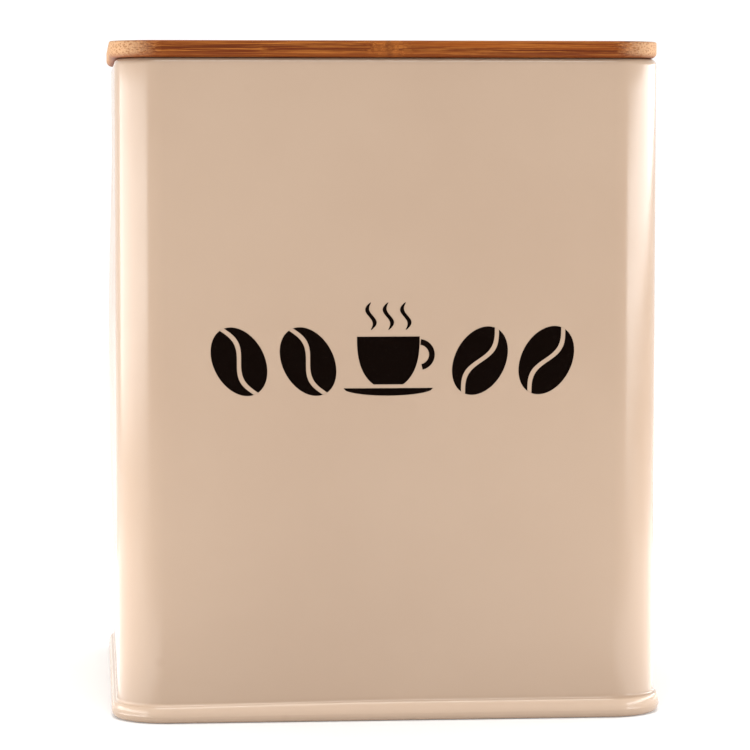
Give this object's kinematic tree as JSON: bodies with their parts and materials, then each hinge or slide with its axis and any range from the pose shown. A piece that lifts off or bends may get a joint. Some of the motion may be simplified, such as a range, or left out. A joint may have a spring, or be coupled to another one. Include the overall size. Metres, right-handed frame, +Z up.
{
  "type": "coffee canister",
  "caption": "Square painted steel storage canister with round corners, a double-seamed base and a loose laminated bamboo lid that plugs into the mouth on a silicone seal.",
  "frame": {"origin": "on the surface it stands on, under the middle of the base", "axes": "+Z up, -Y towards the printed front, +X to the right seen from the front; the bamboo of the board runs along X"},
  "size_m": [0.1124, 0.1124, 0.1368],
  "materials": {
    "enamel": "gloss cream paint baked on tinplate",
    "print": "black screen-printed ink",
    "sealant": "matt sealing compound",
    "bamboo": "satin oil on carbonised bamboo",
    "pale_bamboo": "sanded bamboo",
    "silicone": "translucent white silicone"
  },
  "bodies": {
    "tin": {"wall": "enamel", "base_plate": "enamel", "seam_sealant": "sealant"},
    "lid": {"board_strip_1": "bamboo", "board_strip_2": "bamboo", "board_strip_3": "bamboo", "board_strip_4": "bamboo", "board_strip_5": "bamboo", "board_strip_6": "bamboo", "board_strip_7": "bamboo", "plug_strip_1": "pale_bamboo", "plug_strip_2": "pale_bamboo", "plug_strip_3": "pale_bamboo", "plug_strip_4": "pale_bamboo", "plug_strip_5": "pale_bamboo", "plug_strip_6": "pale_bamboo", "seal": "silicone"}
  },
  "joints": [
    {"name": "lid_lift", "type": "slide", "parent": "tin", "child": "lid", "axis": [0, 0, 1], "range_m": [0, 0.12]}
  ]
}
